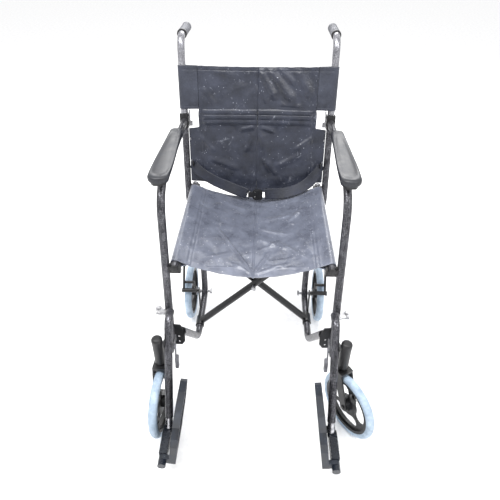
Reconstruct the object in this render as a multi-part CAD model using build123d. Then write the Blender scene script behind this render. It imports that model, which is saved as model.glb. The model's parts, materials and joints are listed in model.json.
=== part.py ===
"""A folding transport wheelchair: two bent-tube side frames on four 203 mm wheels, joined by one
folding cross brace, with a sling seat, a fold-down back and footrests with flip-up plates.

Millimetres. +Z is up, the chair faces -Y, +X is the sitter's left. The origin is on the floor, on
the middle plane between the side frames. Every piece is made once, for the +X side, and mirrored.
"""
from build123d import *
from math import cos, radians, sin, tan
import os

os.makedirs("parts", exist_ok=True)

# ---- driving dimensions -------------------------------------------------------------------
TUBE_R = 11.1  # 22.2 mm steel tube
WALL = 1.6
FRAME_X = 235.0  # side-frame plane, from the middle
RAIL_X = 211.0  # seat-rail plane
POST_X = 185.0  # rear post and lower rail plane
HANGER_X = 226.0  # footrest hanger plane
CASTOR_X = 256.0  # castor stem plane
WHEEL_X = 233.0  # rear wheel plane

WHEEL_R = 101.6  # 8 inch wheels, front and rear
TYRE_W = 25.0
RIM_R = 85.0
SEAT_Z = 473.0
ARM_Z = 690.0
HINGE_Z = 704.0
PIVOT_BACK = 14.0  # the back's hinge pin stands this far behind the cane's axis
GRIP_Z = 932.0
REF_Z = 500.0  # height at which the two rake lines are placed
CANE_Y = 211.0
CANE_RAKE = 10.7
LEG_Y = -230.0
LEG_RAKE = 10.9
LEG_END_Z = 225.0

BEND_R = 45.0  # post into lower rail: the axle goes through the middle of this bend
POST_Y = 90.0
RAIL_Z = WHEEL_R + BEND_R * cos(radians(45)) - BEND_R
AXLE_Y = POST_Y - BEND_R + BEND_R * sin(radians(45))

LOCK_PIVOT = (-8.0, 180.0)  # y and z of the wheel lock's pivot, in front of the tread
LOCK_OUT = 250.0
BRACE_Y = -55.0
BRACE_GAP = 12.5  # each brace tube stands this far from the pair's middle

CASTOR_Y = -351.0
TRAIL = 47.0
CASTOR_TURN = {"left": 3.0, "right": 32.0}  # degrees outward from straight ahead, as parked

HANGER_TOP = (HANGER_X, -318.0, 352.0)
HANGER_END = (HANGER_X, -450.0, 105.0)
PLATE_PIN = (231.0, 62.0)  # x and z of the footplate's hinge pin
PLATE_LEAN = 8.0  # degrees that the folded plate leans in over the middle

RUN = 0.05  # radial clearance of running fits
SOFT_GAP = 0.4  # between cloth and tube


# ---- helpers ------------------------------------------------------------------------------
def cane_y(z):
    """Y of the rear cane's axis at height z."""
    return CANE_Y + (z - REF_Z) * tan(radians(CANE_RAKE))


def leg_y(z):
    """Y of the front leg's axis at height z."""
    return LEG_Y - (REF_Z - z) * tan(radians(LEG_RAKE))


def pipe(points, radius, bends=(), bore=0.0):
    """A round bar or tube along straight runs with a bend radius at each inner corner."""
    path = FilletPolyline(*points, radius=list(bends)) if bends else Line(*points)
    start = Plane(origin=path @ 0, z_dir=path % 0)
    body = sweep(start * Circle(radius), path)
    return body - sweep(start * Circle(bore), path) if bore else body


def rod(start, end, radius, bore=0.0):
    """A straight round bar, or a sleeve when it has a bore."""
    return pipe((start, end), radius, (), bore)


def block(x, y, z):
    """A box between two values on each axis."""
    size = (x[1] - x[0], y[1] - y[0], z[1] - z[0])
    return Pos(sum(x) / 2, sum(y) / 2, sum(z) / 2) * Box(*size)


def bar(start, end, width, height):
    """A flat bar between two points: width is across it and level, height the other way."""
    way = Vector(*end) - Vector(*start)
    across = Vector(-way.Y, way.X, 0)
    face = Plane(origin=start, x_dir=across, z_dir=way) * Rectangle(width, height)
    return extrude(face, way.length)


def side_plate(outline, x):
    """A plate parallel to the side frame: outline is (y, z) points, x its two faces."""
    face = Plane.YZ.offset(x[0]) * make_face(Polyline(*outline, close=True))
    return extrude(face, x[1] - x[0])


def on_cane(z, x=FRAME_X):
    """A place on the rear cane: local Z runs up the cane and local Y points backwards."""
    return Pos(x, cane_y(z), z) * Rot(-CANE_RAKE, 0, 0)


def solids(*bodies):
    """Several separate solids in one node."""
    return Compound(children=[s for body in bodies for s in body.solids()])


def bolt(start, end, radius, head):
    """A bolt with a hexagon head at its start and a nut at its end."""
    way = (Vector(*end) - Vector(*start)).normalized()
    hexagon = RegularPolygon(head, 6)
    body = rod(start, end, radius)
    body += extrude(Plane(origin=start, z_dir=way) * hexagon, -head * 0.6)
    return body + extrude(Plane(origin=end, z_dir=way) * hexagon, -head * 0.6)


# ---- side frame ---------------------------------------------------------------------------
ARM_BEND = 95.0
ARM_POINTS = (
    (FRAME_X, cane_y(ARM_Z), ARM_Z),
    (FRAME_X, leg_y(ARM_Z), ARM_Z),
    (FRAME_X, leg_y(LEG_END_Z), LEG_END_Z),
)


def cane_bar(z, reach=60.0):
    """The rear cane near height z as a solid bar, to shape what meets it."""
    return rod((FRAME_X, cane_y(z - reach), z - reach), (FRAME_X, cane_y(z + reach), z + reach), TUBE_R)


def leg_bar(z, reach=60.0):
    """The front leg near height z as a solid bar, to shape what meets it."""
    return rod((FRAME_X, leg_y(z - reach), z - reach), (FRAME_X, leg_y(z + reach), z + reach), TUBE_R)


def arm_leg_tube():
    """Level under the arm pad, then bent down into the front leg."""
    tube = pipe(ARM_POINTS, TUBE_R, (ARM_BEND,), TUBE_R - WALL)
    return tube - cane_bar(ARM_Z)


def rear_post():
    """Cane below the back hinge, bent in and forwards to the axle, then into the lower rail."""
    points = (
        (FRAME_X, cane_y(HINGE_Z - 12), HINGE_Z - 12),
        (FRAME_X, cane_y(430), 430.0),
        (POST_X, POST_Y, 215.0),
        (POST_X, POST_Y, RAIL_Z),
        (POST_X, -10.0, RAIL_Z),
    )
    tube = pipe(points, TUBE_R, (60.0, 60.0, BEND_R), TUBE_R - WALL)
    return tube - rod((POST_X - 30, AXLE_Y, WHEEL_R), (POST_X + 30, AXLE_Y, WHEEL_R), 6.0)


RAIL_END = (203.0, -271.5, 263.0)


def lower_rail():
    """From the rear post forwards, then up to the two-hole plate."""
    points = ((POST_X, -10.0, RAIL_Z), (POST_X, -135.0, RAIL_Z), RAIL_END)
    tube = pipe(points, TUBE_R, (55.0,), TUBE_R - WALL)
    return tube - block((150, 260), (-300, PLATE_FACE + 4), (200, 320))


PLATE_FACE = -276.0  # front face of the two-hole plate between leg and lower rail
ACCESSORY_X = 213.0
ACCESSORY_HOLES = (241.0, 220.0)  # heights of its two holes
ACCESSORY_R = 3.5
HOUSING_R = 14.5
STEM_R = 8.0
CROWN_Z = 214.0
HOUSING_Z = (222.0, 300.0)
HOOK_PIN = (261.0, -268.0)  # x and y of the pin the hanger drops on


def frame_brackets():
    """Steel brackets: two-hole plate, castor gusset, wheel lock arm and back hinge."""
    outline = ((226, 290), (226, 208), (206, 208), (197, 222), (195, 262), (206, 288))
    face = Plane.XZ.offset(-PLATE_FACE) * make_face(Polyline(*outline, close=True))
    leg = leg_bar(300, 100)
    plate = extrude(face, -4.0) - leg
    for z in ACCESSORY_HOLES:
        plate -= rod((ACCESSORY_X, PLATE_FACE - 9, z), (ACCESSORY_X, PLATE_FACE + 9, z), ACCESSORY_R)
    gusset = bar((FRAME_X, leg_y(247), 247), (CASTOR_X, CASTOR_Y, 247), 14.0, 28.0)
    gusset -= leg
    gusset -= rod((CASTOR_X, CASTOR_Y, 200), (CASTOR_X, CASTOR_Y, 300), HOUSING_R)
    y, z = LOCK_PIVOT
    rail = rod((POST_X, y - 40, RAIL_Z), (POST_X, y + 10, RAIL_Z), TUBE_R)
    lock_arm = block((POST_X + 4, POST_X + 8), (y - 8, y + 8), (RAIL_Z, z + 8)) - rail
    lock_arm += rod((POST_X + 8, y, z), (LOCK_OUT, y, z), 4.0)
    hinge = Part()
    for x in (TUBE_R, -TUBE_R - 2.5):
        cheek = Pos(x + 1.25, 4, -14) * Box(2.5, 30, 44)
        hinge += on_cane(HINGE_Z) * cheek
    web = on_cane(HINGE_Z) * block((-TUBE_R - 2.5, TUBE_R + 2.5), (-14.0, -TUBE_R - 0.4), (-36.0, 8.0))
    hinge = hinge + web
    hinge -= on_cane(HINGE_Z) * Pos(0, PIVOT_BACK, 0) * Rot(0, 90, 0) * Cylinder(4, 60)
    arm = rod((FRAME_X, cane_y(ARM_Z), ARM_Z), (FRAME_X, 0, ARM_Z), TUBE_R)
    return solids(plate, gusset, lock_arm, hinge - arm)


def seat_rail_guides():
    """Two cradles, open at the top, that the seat rail drops into."""
    made = []
    for y in (leg_y(SEAT_Z), cane_y(SEAT_Z)):
        cradle = block((RAIL_X - 17, FRAME_X), (y - 8, y + 8), (SEAT_Z - 18, SEAT_Z + 4))
        cradle -= rod((RAIL_X, y - 20, SEAT_Z), (RAIL_X, y + 20, SEAT_Z), TUBE_R + 0.4)
        throat = TUBE_R + 0.4
        cradle -= block((RAIL_X - throat, RAIL_X + throat), (y - 20, y + 20), (SEAT_Z, SEAT_Z + 30))
        made.append(cradle)
    return solids(made[0] - leg_bar(SEAT_Z), made[1] - cane_bar(SEAT_Z, 38.0))


PAD_Y = (-212.0, 104.0)
PAD_Z = ARM_Z + TUBE_R
PAD_BASE = 6.0
PAD_THICK = 20.0


def pad_outline(inset):
    """Seen from above: round at the front, narrower towards the back."""
    front, back = PAD_Y
    front_half = 27.0 - inset
    back_half = 19.0 - inset
    nose = front + inset
    return make_face(
        Polyline(
            (FRAME_X - front_half, front + 30),
            (FRAME_X - front_half + 7, nose + 7),
            (FRAME_X - 10, nose),
            (FRAME_X + 10, nose),
            (FRAME_X + front_half - 7, nose + 7),
            (FRAME_X + front_half, front + 30),
            (FRAME_X + back_half, back - 12 - inset),
            (FRAME_X + back_half - 8, back - inset),
            (FRAME_X - back_half + 8, back - inset),
            (FRAME_X - back_half, back - 12 - inset),
            close=True,
        )
    )


def arm_pad_base():
    base = extrude(Plane.XY.offset(PAD_Z) * pad_outline(4.0), PAD_BASE)
    return base - pipe(ARM_POINTS, TUBE_R, (ARM_BEND,))


def arm_pad():
    pad = extrude(Plane.XY.offset(PAD_Z + PAD_BASE) * pad_outline(0.0), PAD_THICK)
    return fillet(pad.faces().sort_by(Axis.Z)[-1].edges(), 8.0)


def castor_housing():
    """Bearing housing with its domed cap."""
    low, high = HOUSING_Z
    tube = rod((CASTOR_X, CASTOR_Y, low), (CASTOR_X, CASTOR_Y, high), HOUSING_R, STEM_R + RUN)
    return solids(tube, castor_cap())


def castor_cap():
    dome = Pos(CASTOR_X, CASTOR_Y, HOUSING_Z[1]) * extrude(Circle(HOUSING_R + 0.8), 18.0)
    dome = fillet(dome.edges().sort_by(Axis.Z)[-1], 9.0)
    top = HOUSING_Z[1]
    return dome - rod((CASTOR_X, CASTOR_Y, top - 1), (CASTOR_X, CASTOR_Y, top + 13), 11.0)


def rear_axle():
    """Axle bolt with its nut inside the post and a spacer between the post and the wheel."""
    axle = bolt((262.0, AXLE_Y, WHEEL_R), (158.0, AXLE_Y, WHEEL_R), 6.0, 10.0)
    spacer = rod((199.0, AXLE_Y, WHEEL_R), (214.5, AXLE_Y, WHEEL_R), 9.0, 6.0)
    return solids(axle, spacer)


def frame_bolts():
    """Plated fittings: the hanger's saddle with its pin, the hinge pin, and the screws."""
    saddle = block((FRAME_X, 270.0), (-276.0, -256.0), (329.0, 334.0)) - leg_bar(331)
    saddle += rod((*HOOK_PIN, 331.0), (*HOOK_PIN, 350.0), 5.0)
    hinge_pin = on_cane(HINGE_Z) * Pos(0, PIVOT_BACK, 0) * Rot(0, 90, 0) * Cylinder(4, 2 * TUBE_R + 9)
    made = [saddle, hinge_pin]
    for y in (-90.0, 60.0):
        made.append(rod((FRAME_X, y, ARM_Z - 15.5), (FRAME_X, y, ARM_Z - TUBE_R), 5.0))
    for z in (632.0, 560.0):
        place = on_cane(z) * Rot(0, 90, 0)
        made.append(place * Pos(0, 0, -TUBE_R - 5) * Cylinder(3.6, 2.4))
    return solids(*made)


# ---- wheels -------------------------------------------------------------------------------
def wheel_face():
    """The wheel's parts are made about the Z axis, then laid on an axle that lies along X."""
    return Rot(0, 90, 0)


def tyre():
    half = TYRE_W / 2
    inner = RIM_R
    outer = WHEEL_R
    shoulder = outer - 7.0
    profile = make_face(
        Polyline((inner, -half + 2), (shoulder - 6, -half), (shoulder, -half + 1))
        + ThreePointArc((shoulder, -half + 1), (outer, 0), (shoulder, half - 1))
        + Polyline((shoulder, half - 1), (shoulder - 6, half), (inner, half - 2), (inner, -half + 2))
    )
    return wheel_face() * revolve(Plane.XZ * profile, Axis.Z)


def rim(bore, hub_half):
    """Moulded rim: hub, a web with three long windows, and the band that carries the tyre."""
    band = Circle(RIM_R) - Circle(RIM_R - 8.0)
    body = extrude(band, TYRE_W / 2 - 2.5, both=True)
    body += extrude(Circle(RIM_R - 4.0), 4.0, both=True)
    body += extrude(Circle(17.0), hub_half, both=True)
    window = SlotArc(CenterArc((0, 0), 51.0, -36.0, 72.0), 36.0)
    cut = extrude(window, 20.0, both=True)
    for turn in (0, 120, 240):
        body -= Rot(0, 0, turn) * cut
    body -= extrude(Circle(bore), hub_half + 5, both=True)
    return wheel_face() * body


def wheel_lock_lever():
    """Turns about its pivot so that the cross bar presses on the tread."""
    y, z = LOCK_PIVOT
    shoe = (y + 19.0, z + 20.6)
    hub = rod((POST_X + 11, y, z), (LOCK_OUT, y, z), 7.0)
    arm = ((y - 7, z), (y - 2, z + 8), (shoe[0] - 4, shoe[1] + 5))
    arm += ((shoe[0] + 5, shoe[1] - 4), (y + 6, z - 4))
    lever = hub + side_plate(arm, (POST_X + 22, POST_X + 26))
    lever += rod((POST_X + 22, *shoe), (WHEEL_X + 13, *shoe), 5.0)
    lever += rod((LOCK_OUT - 6, y, z), (243.0, y + 52, z + 86), 4.0)
    lever += rod((244.0, y + 44, z + 72), (238.0, y + 72, z + 120), 7.5)
    return lever - rod((POST_X, y, z), (LOCK_OUT + 9, y, z), 4.0 + RUN)


# ---- castor, built straight ahead and then turned about its stem ------------------------------
FORK_IN = 16.0  # from the wheel's middle to the fork leg's inner face
FORK_T = 4.0


def castor_fork():
    fork = block((-FORK_IN - FORK_T, FORK_IN + FORK_T), (-22.0, 14.0), (CROWN_Z - 8, CROWN_Z))
    outline = ((-22, CROWN_Z - 8), (14, CROWN_Z - 8), (-TRAIL + 13, WHEEL_R), (-TRAIL + 8, WHEEL_R - 11))
    outline += ((-TRAIL - 8, WHEEL_R - 11), (-TRAIL - 13, WHEEL_R))
    for x in ((FORK_IN, FORK_IN + FORK_T), (-FORK_IN - FORK_T, -FORK_IN)):
        leg = side_plate(outline, x)
        leg -= rod((x[0] - 1, -TRAIL, WHEEL_R), (x[1] + 1, -TRAIL, WHEEL_R), 4.0)
        fork += leg
    fork += rod((0, 0, CROWN_Z), (0, 0, HOUSING_Z[0] - 0.3), 12.0)
    fork += rod((0, 0, CROWN_Z), (0, 0, HOUSING_Z[1] + 10), STEM_R)
    edge = FORK_IN + FORK_T
    axle = bolt((edge + 3, -TRAIL, WHEEL_R), (-edge - 3, -TRAIL, WHEEL_R), 4.0, 6.5)
    return fork, axle


def place_castor(body, turn):
    return Pos(CASTOR_X, CASTOR_Y, 0) * Rot(0, 0, turn) * body


# ---- footrest -----------------------------------------------------------------------------
SLOPE = (Vector(*HANGER_END) - Vector(*HANGER_TOP)).normalized()
EXT_R = TUBE_R - WALL - RUN
EXT_END = Vector(*HANGER_END) + SLOPE * 44


def hanger():
    points = ((HANGER_X, -282.5, 352.0), HANGER_TOP, HANGER_END)
    tube = pipe(points, TUBE_R, (34.0,))
    stay = side_plate(((-354, 292), (-354, 262), (-300, 262), (-300, 278)), (HANGER_X - 12, HANGER_X - 8))
    body = tube + stay
    return body - pipe(points, TUBE_R - WALL, (34.0,))


def hanger_hook():
    """Plated hook, welded on top of the hanger, that drops over the saddle's pin."""
    hook = bar((HANGER_X, -290.0, 344.0), (262.0, -272.0, 344.0), 16.0, 5.0)
    hook += Pos(*HOOK_PIN, 344.0) * Cylinder(10.0, 5.0)
    hook -= rod((*HOOK_PIN, 330.0), (*HOOK_PIN, 360.0), 5.0 + RUN)
    return hook - pipe(((HANGER_X, -282.5, 352.0), HANGER_TOP, HANGER_END), TUBE_R, (34.0,))


def release_lever():
    pivot = (HANGER_X - 12, -338.0, 270.0)
    lever = rod(pivot, (pivot[0] - 5, pivot[1], pivot[2]), 7.0)
    lever += side_plate(((-332, 276), (-345, 272), (-357, 236), (-344, 238)), (pivot[0] - 5, pivot[0] - 2))
    grip = side_plate(((-341, 244), (-358, 240), (-364, 206), (-348, 204)), (pivot[0] - 11, pivot[0] - 1))
    return lever + fillet(grip.edges(), 2.5)


def extension():
    """Inner tube, its foot, the hinge pin with its knob, as one body of separate solids."""
    start = Vector(*HANGER_END) - SLOPE * 90
    tube = rod(tuple(start), tuple(EXT_END), EXT_R)
    x, z = PLATE_PIN
    foot = side_plate(((-456, 74), (-480, 80), (-541, 76), (-541, 51), (-462, 51)), (x - 11, x + 11))
    foot -= rod(tuple(Vector(*HANGER_END)), tuple(EXT_END), EXT_R)
    foot -= rod((x, -600, z), (x, -400, z), 6.0)
    pin = rod((x, -570.0, z), (x, -440.0, z), 6.0)
    pin += rod((x, -570.0, z), (x, -555.0, z), 11.0)
    return solids(tube, foot, pin)


def footplate():
    """Folded up beside the hanger: it turns down inwards about the pin."""
    x, z = PLATE_PIN
    rim = ((-554, 50), (-434, 50), (-434, 78), (-394, 92), (-381, 128), (-378, 170), (-384, 194))
    rim += ((-402, 208), (-440, 212), (-500, 205), (-532, 188), (-548, 160), (-554, 130))
    plate = side_plate(rim, (x - 36, x - 17))
    recess = ((-544, 98), (-426, 98), (-402, 104), (-391, 132), (-388, 168), (-393, 189), (-406, 199))
    recess += ((-440, 202), (-497, 195), (-525, 180), (-539, 156), (-544, 130))
    plate -= side_plate(recess, (x - 37, x - 22))
    for step in range(7):
        y = -530 + step * 20
        plate += block((x - 34, x - 21), (y - 2.5, y + 2.5), (96, 182 + 2 * step))
    knuckle = Part()
    for y in ((-554.0, -541.6), (-452.0, -442.0)):
        knuckle += rod((x, y[0], z), (x, y[1], z), 11.0)
        knuckle += block((x - 20, x), y, (z - 11, z + 11))
    knuckle -= rod((x, -600, z), (x, -400, z), 6.0 + RUN)
    return Pos(x, 0, z) * Rot(0, -PLATE_LEAN, 0) * Pos(-x, 0, -z) * (plate + knuckle)


# ---- back ---------------------------------------------------------------------------------
HANDLE = 135.0  # length of the handle's level part, from the cane's line


def upper_cane():
    start = HINGE_Z + 9
    points = (
        (FRAME_X, cane_y(start), start),
        (FRAME_X, cane_y(GRIP_Z), GRIP_Z),
        (FRAME_X, cane_y(GRIP_Z) + HANDLE, GRIP_Z),
    )
    tube = pipe(points, TUBE_R, (42.0,), TUBE_R - WALL)
    place = on_cane(HINGE_Z)
    lug = place * block((-9.0, 9.0), (TUBE_R - 2, 21.0), (-7.0, 20.0))
    lug -= place * Pos(0, PIVOT_BACK, 0) * Rot(0, 90, 0) * Cylinder(4.0 + RUN, 60)
    return tube + (lug - cane_bar(start + 20, 40.0))


GRIP_R = 15.0
GRIP_LENGTH = 105.0


def grip():
    """Closed rubber sleeve, 6 mm thick at its end, pushed over the handle's tube."""
    end = cane_y(GRIP_Z) + HANDLE + 6.0
    sleeve = rod((FRAME_X, end - GRIP_LENGTH, GRIP_Z), (FRAME_X, end, GRIP_Z), GRIP_R)
    return sleeve - rod((FRAME_X, end - 130.0, GRIP_Z), (FRAME_X, end - 6.0, GRIP_Z), TUBE_R)


def back_latch():
    """Sprung catch on the inner side of the hinge, pulled to let the back fold."""
    place = on_cane(HINGE_Z)
    inner = -TUBE_R - 2.5
    latch = place * block((inner - 5.0, inner - 2.0), (-9.0, 11.0), (-30.0, 19.0))
    latch += place * block((inner - 13.0, inner - 2.0), (-9.0, -6.0), (-30.0, -14.0))
    pin = place * Pos(inner - 2.6, 2, -22) * Rot(0, 90, 0) * Cylinder(3.0, 4.8)
    return latch + pin


# ---- cross brace --------------------------------------------------------------------------
def brace(y):
    """From the sleeve on this side's lower rail up to the seat rail of the other side."""
    low = (POST_X, y, RAIL_Z)
    high = (-RAIL_X, y, SEAT_Z)
    sleeve = rod((POST_X, y - 20, RAIL_Z), (POST_X, y + 20, RAIL_Z), 14.5)
    body = pipe((low, high), TUBE_R, (), TUBE_R - WALL) + sleeve
    body -= rod((POST_X, y - 30, RAIL_Z), (POST_X, y + 30, RAIL_Z), TUBE_R + RUN)
    body -= rod((-RAIL_X, y - 30, SEAT_Z), (-RAIL_X, y + 30, SEAT_Z), TUBE_R)
    return body


MID_Z = RAIL_Z + (SEAT_Z - RAIL_Z) * POST_X / (POST_X + RAIL_X)


def middle_hole(radius):
    return rod((0, BRACE_Y - 60, MID_Z), (0, BRACE_Y + 60, MID_Z), radius)


def seat_rail():
    return rod((RAIL_X, -244.0, SEAT_Z), (RAIL_X, 217.0, SEAT_Z), TUBE_R, TUBE_R - WALL)


# ---- cloth --------------------------------------------------------------------------------
CLOTH = 3.0
SEAT_SAG = 46.0
SEAT_Y = (-225.0, 190.0)


def sling(half, sag, length, cloth):
    """A cloth band hung between two sleeves, as a profile in X and Z drawn out along Y."""
    hole = TUBE_R + SOFT_GAP
    outer = hole + 2.0
    top = outer - 0.2
    upper = ThreePointArc((-half, top), (0, top - sag), (half, top))
    lower = ThreePointArc((half, top - cloth), (0, top - sag - cloth), (-half, top - cloth))
    ends = Line(upper @ 1, lower @ 0) + Line(lower @ 1, upper @ 0)
    profile = make_face(upper + lower + ends)
    for x in (-half, half):
        profile = profile + Pos(x, 0) * Circle(outer)
    for x in (-half, half):
        profile = profile - Pos(x, 0) * Circle(hole)
    return extrude(profile, length)


def seat_sling():
    """Hung between the seat rails, with a cut-out in each sleeve where a brace meets its rail."""
    length = SEAT_Y[1] - SEAT_Y[0]
    cloth = Pos(0, SEAT_Y[1], SEAT_Z) * Rot(90, 0, 0) * sling(RAIL_X, SEAT_SAG, length, CLOTH)
    for x, y in ((RAIL_X, BRACE_Y - BRACE_GAP), (-RAIL_X, BRACE_Y + BRACE_GAP)):
        foot_x = -POST_X if x > 0 else POST_X
        cloth -= rod((foot_x, y, RAIL_Z), (x, y, SEAT_Z), TUBE_R + 2.0)
    return cloth


def back_upper():
    """Top of the back cloth: its sleeves slide over the upper canes."""
    cloth = Pos(0, 0, 23) * Rot(0, 0, 180) * sling(FRAME_X, 14.0, 129.0, CLOTH)
    return on_cane(HINGE_Z, 0) * cloth


def bowed_band(half, low, high):
    """An upright band of cloth, bowed backwards, from low to high along the cane."""
    front = ThreePointArc((-half, 4), (0, 20), (half, 4))
    rear = ThreePointArc((half, 4 + CLOTH), (0, 20 + CLOTH), (-half, 4 + CLOTH))
    ends = Line(front @ 1, rear @ 0) + Line(rear @ 1, front @ 0)
    return Pos(0, 0, low) * extrude(make_face(front + rear + ends), high - low)


def back_lower():
    """The rest of the back cloth, screwed to the inner side of the lower canes.

    It is narrower beside the hinges, for the catches, and at its foot, for the seat rails.
    """
    half = FRAME_X - TUBE_R - SOFT_GAP
    low, step_low, step_high, top = -262.0, -216.0, -50.0, 18.0
    cloth = bowed_band(half, low, top)
    for sign in (-1, 1):
        for reach, ends in ((189.0, (low - 9, step_low)), (201.5, (step_high, top + 9))):
            x = sorted((sign * reach, sign * (half + 9)))
            cloth -= block(x, (-60, 60), ends)
    return on_cane(HINGE_Z, 0) * cloth


def strap(points, width, thickness):
    """Flat webbing through the points, on edge towards the front and up."""
    made = Part()
    for start, end in zip(points, points[1:]):
        made += bar(start, end, thickness, width)
    return made


BELT_START = (FRAME_X - 20.0, cane_y(550) - 4, 550.0)
BELT_END = 28.7  # each strap stops here, inside the buckle


def belt_side(end_x):
    points = (BELT_START, (170.0, 196.0, 510.0), (90.0, 172.0, 482.0), (end_x, 160.0, 470.0))
    return strap(points, 36.0, 2.4)


def belt_buckle():
    outline = RectangleRounded(52.0, 40.0, 5.0)
    shell = Plane(origin=(0, 153.5, 470.0), x_dir=(1, 0, 0), z_dir=(0, 1, 0)) * outline
    slot = Pos(0, 159.0, 470.0) * Box(58.0, 3.4, 37.0)
    return extrude(shell, 11.0) - slot


# ---- write every node ------------------------------------------------------------------------
def right_side(side):
    """Every piece of one side, on +X."""
    turn = CASTOR_TURN[side]
    fork, castor_axle = castor_fork()
    castor_at = Pos(0, -TRAIL, WHEEL_R)
    rear_at = Pos(WHEEL_X, AXLE_Y, WHEEL_R)
    brace_tube = brace(BRACE_Y + (BRACE_GAP if side == "right" else -BRACE_GAP))
    pieces = {
        "arm_leg_tube": arm_leg_tube(),
        "rear_post": rear_post(),
        "lower_rail": lower_rail(),
        "frame_brackets": frame_brackets(),
        "seat_rail_guides": seat_rail_guides(),
        "arm_pad_base": arm_pad_base(),
        "arm_pad": arm_pad(),
        "castor_housing": castor_housing(),
        "rear_axle": rear_axle(),
        "frame_bolts": frame_bolts(),
        "rear_tyre": rear_at * tyre(),
        "rear_rim": rear_at * rim(6.0 + RUN, 17.5),
        "castor_fork": place_castor(solids(fork, castor_axle), turn),
        "castor_tyre": place_castor(castor_at * tyre(), turn),
        "castor_rim": place_castor(castor_at * rim(4.0 + RUN, 15.0), turn),
        "wheel_lock_lever": wheel_lock_lever(),
        "hanger": hanger(),
        "hanger_hook": hanger_hook(),
        "release_lever": release_lever(),
        "footrest_extension": extension(),
        "footplate": footplate(),
        "upper_cane": upper_cane(),
        "push_grip": grip(),
        "back_latch": back_latch(),
        "seat_rail": seat_rail(),
        "cross_brace": brace_tube - middle_hole(5.0 + (RUN if side == "right" else 0.0)),
    }
    return pieces


def save(name, body):
    export_step(body, f"parts/{name}.step")


for side in ("left", "right"):
    for name, body in right_side(side).items():
        # left and right are as seen from in front of the chair, so left is -X
        save(f"{side}_{name}", body if side == "right" else mirror(body, about=Plane.YZ))

save("brace_pivot_bolt", bolt((0, BRACE_Y - 34, MID_Z), (0, BRACE_Y + 34, MID_Z), 5.0, 8.0))
save("seat_sling", seat_sling())
save("back_upper_cloth", back_upper())
save("back_lower_cloth", back_lower())
save("right_belt", belt_side(BELT_END))
save("left_belt", mirror(belt_side(BELT_END), about=Plane.YZ))
save("belt_buckle", belt_buckle())
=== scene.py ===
import json
import math

import bmesh
import bpy
import numpy as np
from mathutils import Matrix, Vector, noise


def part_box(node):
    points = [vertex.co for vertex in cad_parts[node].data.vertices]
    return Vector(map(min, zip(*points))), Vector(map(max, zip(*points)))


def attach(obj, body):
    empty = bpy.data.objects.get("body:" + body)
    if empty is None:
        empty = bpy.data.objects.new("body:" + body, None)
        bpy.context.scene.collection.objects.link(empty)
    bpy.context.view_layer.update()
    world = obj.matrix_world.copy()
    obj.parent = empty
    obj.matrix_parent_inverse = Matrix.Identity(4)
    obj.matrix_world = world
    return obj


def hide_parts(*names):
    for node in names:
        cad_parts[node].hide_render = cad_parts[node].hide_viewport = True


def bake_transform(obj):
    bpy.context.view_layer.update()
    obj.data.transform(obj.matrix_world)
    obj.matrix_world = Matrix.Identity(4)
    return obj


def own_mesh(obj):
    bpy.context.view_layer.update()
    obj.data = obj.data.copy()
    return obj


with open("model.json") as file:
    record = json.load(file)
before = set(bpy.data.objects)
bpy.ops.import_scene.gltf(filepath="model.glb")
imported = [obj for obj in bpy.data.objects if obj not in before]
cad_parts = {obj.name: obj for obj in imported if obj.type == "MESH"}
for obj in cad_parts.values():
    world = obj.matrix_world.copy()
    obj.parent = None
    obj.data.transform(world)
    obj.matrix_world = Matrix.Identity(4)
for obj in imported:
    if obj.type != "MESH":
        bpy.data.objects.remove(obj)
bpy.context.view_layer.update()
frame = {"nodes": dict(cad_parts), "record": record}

bl_info = {
    "name": "Transport wheelchair",
    "version": (1, 0, 0),
    "blender": (4, 5, 0),
    "location": "3D View > Sidebar > Wheelchair",
    "description": "Dresses the frame of a folding transport wheelchair: cloth, pads, grips and finishes",
    "category": "Add Mesh",
}

MM = 0.001
SIDES = (("left", -1), ("right", 1))

# ---- sizes of the chair, in millimetres ----------------------------------------------------
RAKE = math.radians(10.7)  # the back leans by this much
HINGE_Z = 704.0
HINGE_Y = 211.0 + (HINGE_Z - 500.0) * math.tan(RAKE)
CANE_X = 235.0
RAIL_X = 211.0
RAIL_Z = 473.0
TUBE_R = 11.1
SLEEVE_R = TUBE_R + 2.5  # outer face of a cloth sleeve round a tube
SLEEVE_CLOTH = 1.9  # thickness of one sewn layer
PANEL_CLOTH = 2.2  # thickness of the lined back panels


# ---- colour and nodes ----------------------------------------------------------------------
def linear(code):
    """An sRGB hex colour as linear RGBA."""
    parts = [int(code[i:i + 2], 16) / 255 for i in (1, 3, 5)]
    return [c / 12.92 if c <= 0.04045 else ((c + 0.055) / 1.055) ** 2.4 for c in parts] + [1.0]


def per_mm(size):
    """The texture scale that makes one feature this many millimetres wide."""
    return 1000.0 / size


def add(tree, kind, links=None, inputs=None, stops=(), **settings):
    """Add one node with its settings, input values, links and, on a colour ramp, (place, hex) stops."""
    made = tree.nodes.new(kind)
    for name, value in settings.items():
        setattr(made, name, value)
    for name, value in (inputs or {}).items():
        made.inputs[name].default_value = value
    for name, socket in (links or {}).items():
        tree.links.new(socket, made.inputs[name])
    for index, (place, code) in enumerate(stops):
        band = made.color_ramp.elements
        stop = band[index] if index < len(band) else band.new(place)
        stop.position, stop.color = place, linear(code)
    return made


def between(start, end, low, high):
    """Values of a map range node: from start to end it gives low to high."""
    return {"From Min": start, "From Max": end, "To Min": low, "To Max": high}


def start_material(name, **shader_values):
    """A new material, its tree, its shader and its millimetre-true coordinates."""
    made = bpy.data.materials.new(name)
    made.use_nodes = True
    tree = made.node_tree
    shader = tree.nodes["Principled BSDF"]
    for key, value in shader_values.items():
        shader.inputs[key.replace("_", " ")].default_value = value
    place = add(tree, "ShaderNodeTexCoord").outputs["Object"]
    return made, tree, shader, place


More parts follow.
